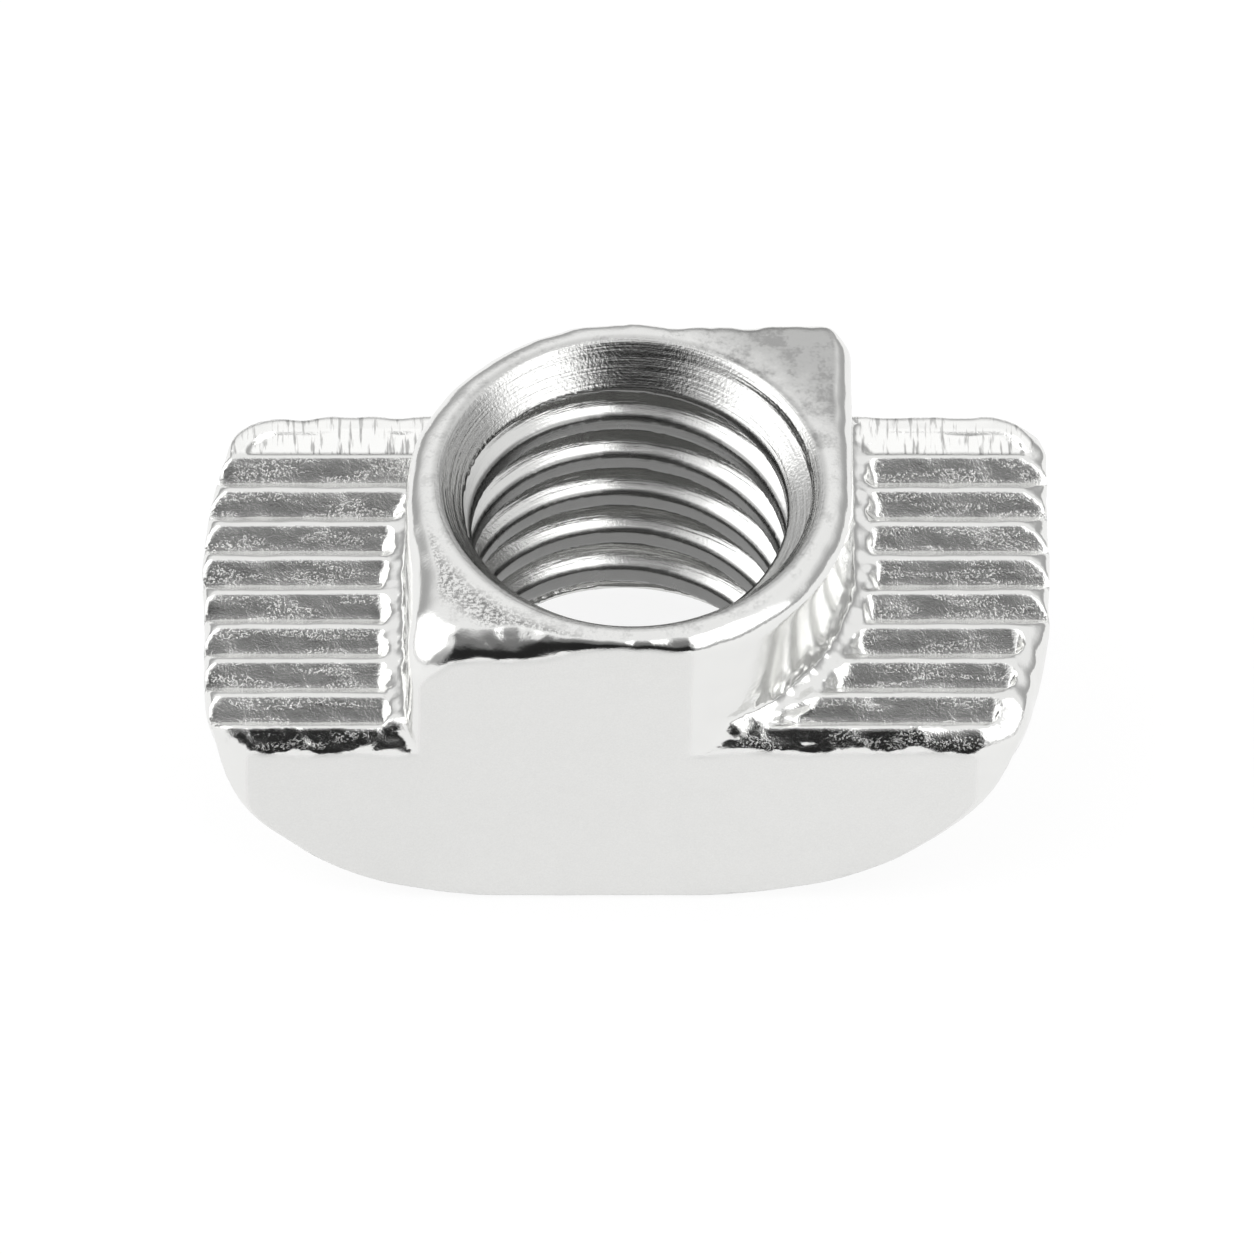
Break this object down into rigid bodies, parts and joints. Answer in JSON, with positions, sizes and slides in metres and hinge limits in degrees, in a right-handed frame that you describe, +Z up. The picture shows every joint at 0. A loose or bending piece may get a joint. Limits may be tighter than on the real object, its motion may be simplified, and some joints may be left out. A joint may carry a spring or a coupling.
{
  "type": "t slot nut",
  "caption": "Hammer head drop-in nut for a slotted extrusion: ridged wings, a half-round boss that fills the slot, and a threaded hole through the middle.",
  "frame": {"origin": "on the underside, on the axis of the threaded hole", "axes": "+X along the head, end to end; +Y across the head, from one flat side to the other; +Z up the threaded hole and out of the boss"},
  "size_m": [0.0186, 0.0094, 0.0084],
  "materials": {
    "plated_steel": "bright plated, satin on the flat sides"
  },
  "bodies": {
    "root": {"t_slot_nut": "plated_steel"}
  },
  "joints": []
}
